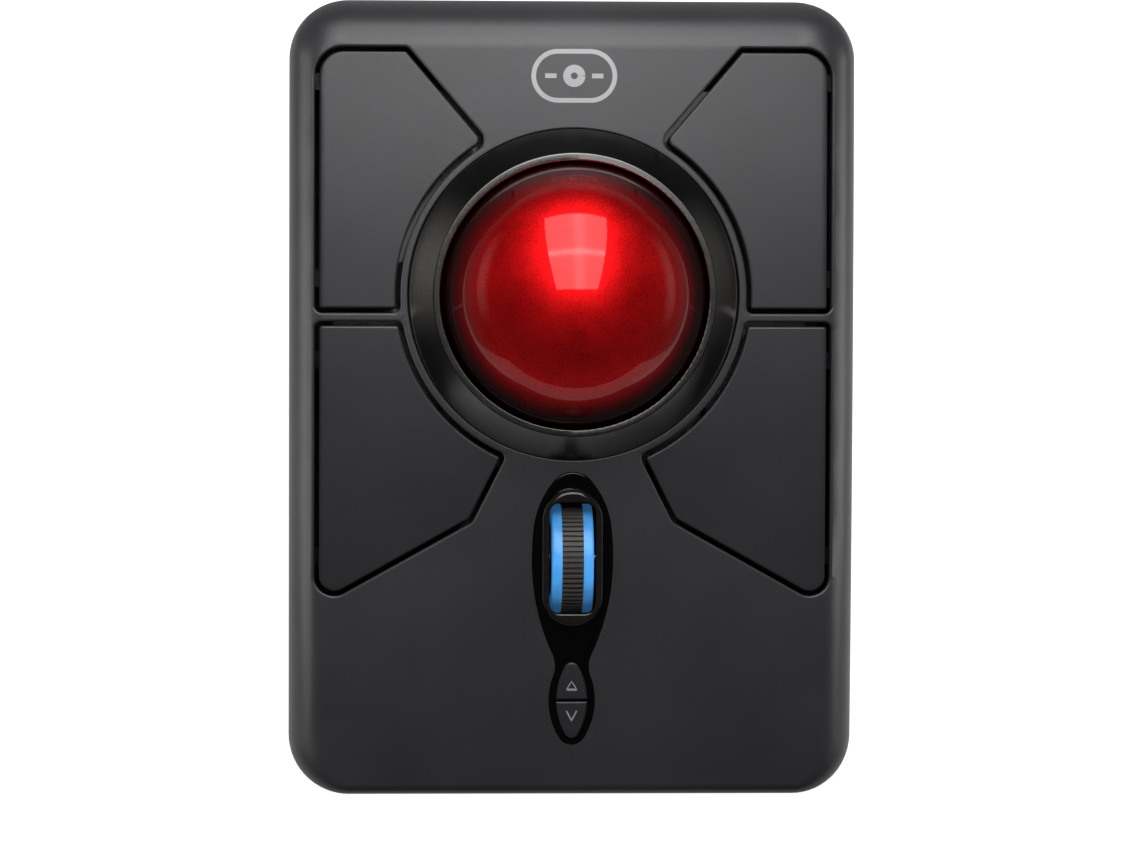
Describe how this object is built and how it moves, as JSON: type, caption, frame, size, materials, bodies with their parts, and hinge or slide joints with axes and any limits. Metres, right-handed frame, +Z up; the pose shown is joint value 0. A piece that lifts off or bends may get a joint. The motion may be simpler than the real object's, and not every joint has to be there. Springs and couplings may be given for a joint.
{
  "type": "computer trackball mouse",
  "caption": "Low rounded desktop trackball mouse: a large glossy red ball in a raised collar, corner buttons, and a glossy console with a lit scroll wheel and small speed buttons.",
  "frame": {"origin": "on the desk, under the middle of the case", "axes": "+Z up, +Y from the user towards the back edge (the long way), +X to the right"},
  "size_m": [0.1092, 0.1534, 0.0554],
  "materials": {
    "cover_plastic": "satin, fine grain",
    "button_plastic": "satin, fine grain",
    "collar_plastic": "satin",
    "base_plastic": "fine grain",
    "cup_plastic": "matte",
    "ball_resin": "deep gloss with a fine pearl fleck",
    "support_ceramic": "polished",
    "piano_black": "high gloss",
    "bezel_plastic": "gloss",
    "speed_plastic": "satin",
    "tyre_rubber": "matte",
    "lit_ring": "frosted, lit from inside",
    "inner_plastic": "matte",
    "switch_plastic": "matte",
    "plunger_plastic": "matte",
    "steel": "bright",
    "contact_plate": "bright plate",
    "board": "solder mask",
    "chips": "matte",
    "lens": "clear",
    "ribbon": "satin",
    "cell_jacket": "printed film over metal",
    "lead_wire": "insulated",
    "feet_rubber": "matte",
    "lamp": "clear dome"
  },
  "bodies": {
    "mouse": {"top_cover": "cover_plastic", "base_shell": "base_plastic", "ball_collar": "collar_plastic", "ball_cup": "cup_plastic", "support_balls": "support_ceramic", "button_hinge_pins": "steel", "button_switches": "switch_plastic", "console_insert": "piano_black", "wheel_bezel": "bezel_plastic", "speed_switches": "switch_plastic", "wheel_bracket": "inner_plastic", "wheel_pivot_pin": "steel", "wheel_click_switch": "switch_plastic", "wheel_lamp": "lamp", "main_board": "board", "board_screws": "steel", "console_board": "board", "console_board_screws": "steel", "board_components": "chips", "sensor_lens": "lens", "sensor_bracket": "inner_plastic", "optical_sensor": "chips", "sensor_board": "board", "sensor_ribbon": "ribbon", "left_battery": "cell_jacket", "right_battery": "cell_jacket", "battery_springs": "steel", "battery_contacts": "contact_plate", "battery_link": "contact_plate", "battery_leads": "lead_wire", "receiver_cap": "inner_plastic", "receiver_plug": "contact_plate", "power_switch_body": "switch_plastic", "case_screws": "steel", "cup_screws": "steel", "rubber_feet": "feet_rubber"},
    "ball": {"trackball": "ball_resin"},
    "upper_left_key": {"upper_left_button": "button_plastic"},
    "upper_right_key": {"upper_right_button": "button_plastic"},
    "lower_left_key": {"lower_left_button": "button_plastic"},
    "lower_right_key": {"lower_right_button": "button_plastic"},
    "upper_left_contact": {"upper_left_plunger": "plunger_plastic"},
    "upper_right_contact": {"upper_right_plunger": "plunger_plastic"},
    "lower_left_contact": {"lower_left_plunger": "plunger_plastic"},
    "lower_right_contact": {"lower_right_plunger": "plunger_plastic"},
    "speed_up_key": {"speed_up_button": "speed_plastic"},
    "speed_down_key": {"speed_down_button": "speed_plastic"},
    "speed_up_contact": {"speed_up_stem": "plunger_plastic"},
    "speed_down_contact": {"speed_down_stem": "plunger_plastic"},
    "carrier": {"wheel_carrier": "inner_plastic", "scroll_encoder": "switch_plastic"},
    "wheel": {"wheel_hub": "inner_plastic", "wheel_tyre": "tyre_rubber", "wheel_light_rings": "lit_ring", "wheel_axle": "steel"},
    "wheel_contact": {"wheel_click_plunger": "plunger_plastic"},
    "power_knob": {"power_switch_knob": "plunger_plastic"},
    "door": {"battery_door": "base_plastic"}
  },
  "joints": [
    {"name": "ball_roll", "type": "hinge", "parent": "mouse", "child": "ball", "pos_m": [0, 0.0195, 0.03], "axis": [1, 0, 0], "continuous": true},
    {"name": "upper_left_press", "type": "hinge", "parent": "mouse", "child": "upper_left_key", "pos_m": [-0.0466, 0.04178, 0.02437], "axis": [0, 0.9985, 0.0542], "range_deg": [0, 1.6], "stiffness_Nm_per_rad": 0.15, "springref_deg": -6.88},
    {"name": "upper_left_plunge", "type": "slide", "parent": "mouse", "child": "upper_left_contact", "axis": [0, 0, -1], "range_m": [0, 0.00055]},
    {"name": "upper_right_press", "type": "hinge", "parent": "mouse", "child": "upper_right_key", "pos_m": [0.0466, 0.04178, 0.02437], "axis": [0, -0.9985, -0.0542], "range_deg": [0, 1.6], "stiffness_Nm_per_rad": 0.15, "springref_deg": -6.88},
    {"name": "upper_right_plunge", "type": "slide", "parent": "mouse", "child": "upper_right_contact", "axis": [0, 0, -1], "range_m": [0, 0.00055]},
    {"name": "lower_left_press", "type": "hinge", "parent": "mouse", "child": "lower_left_key", "pos_m": [-0.0466, -0.01185, 0.02042], "axis": [0, 0.9957, 0.0927], "range_deg": [0, 1.6], "stiffness_Nm_per_rad": 0.15, "springref_deg": -6.88},
    {"name": "lower_left_plunge", "type": "slide", "parent": "mouse", "child": "lower_left_contact", "axis": [0, 0, -1], "range_m": [0, 0.00055]},
    {"name": "lower_right_press", "type": "hinge", "parent": "mouse", "child": "lower_right_key", "pos_m": [0.0466, -0.01185, 0.02042], "axis": [0, -0.9957, -0.0927], "range_deg": [0, 1.6], "stiffness_Nm_per_rad": 0.15, "springref_deg": -6.88},
    {"name": "lower_right_plunge", "type": "slide", "parent": "mouse", "child": "lower_right_contact", "axis": [0, 0, -1], "range_m": [0, 0.00055]},
    {"name": "speed_up_press", "type": "slide", "parent": "mouse", "child": "speed_up_key", "axis": [0, 0, -1], "range_m": [0, 0.0003], "stiffness_N_per_m": 300, "springref_m": -0.003},
    {"name": "speed_up_plunge", "type": "slide", "parent": "mouse", "child": "speed_up_contact", "axis": [0, 0, -1], "range_m": [0, 0.00032]},
    {"name": "speed_down_press", "type": "slide", "parent": "mouse", "child": "speed_down_key", "axis": [0, 0, -1], "range_m": [0, 0.0003], "stiffness_N_per_m": 300, "springref_m": -0.003},
    {"name": "speed_down_plunge", "type": "slide", "parent": "mouse", "child": "speed_down_contact", "axis": [0, 0, -1], "range_m": [0, 0.00032]},
    {"name": "wheel_press", "type": "hinge", "parent": "mouse", "child": "carrier", "pos_m": [0, -0.046, 0.016], "axis": [-1, 0, 0], "range_deg": [0, 1], "stiffness_Nm_per_rad": 0.8, "springref_deg": -1.15},
    {"name": "wheel_spin", "type": "hinge", "parent": "carrier", "child": "wheel", "pos_m": [0, -0.0311, 0.018], "axis": [1, 0, 0], "continuous": true},
    {"name": "wheel_plunge", "type": "slide", "parent": "mouse", "child": "wheel_contact", "axis": [0, 0, -1], "range_m": [0, 0.00052]},
    {"name": "power_slide", "type": "slide", "parent": "mouse", "child": "power_knob", "axis": [1, 0, 0], "range_m": [0, 0.003]},
    {"name": "door_slide", "type": "slide", "parent": "mouse", "child": "door", "axis": [0, -1, 0], "range_m": [0, 0.058]}
  ],
  "couplings": [
    {"joint": "upper_left_plunge", "follows": "upper_left_press", "m_per_rad": 0.0176},
    {"joint": "upper_right_plunge", "follows": "upper_right_press", "m_per_rad": 0.0176},
    {"joint": "lower_left_plunge", "follows": "lower_left_press", "m_per_rad": 0.0176},
    {"joint": "lower_right_plunge", "follows": "lower_right_press", "m_per_rad": 0.0176},
    {"joint": "speed_up_plunge", "follows": "speed_up_press", "ratio": 1},
    {"joint": "speed_down_plunge", "follows": "speed_down_press", "ratio": 1},
    {"joint": "wheel_plunge", "follows": "wheel_press", "m_per_rad": 0.0288}
  ]
}
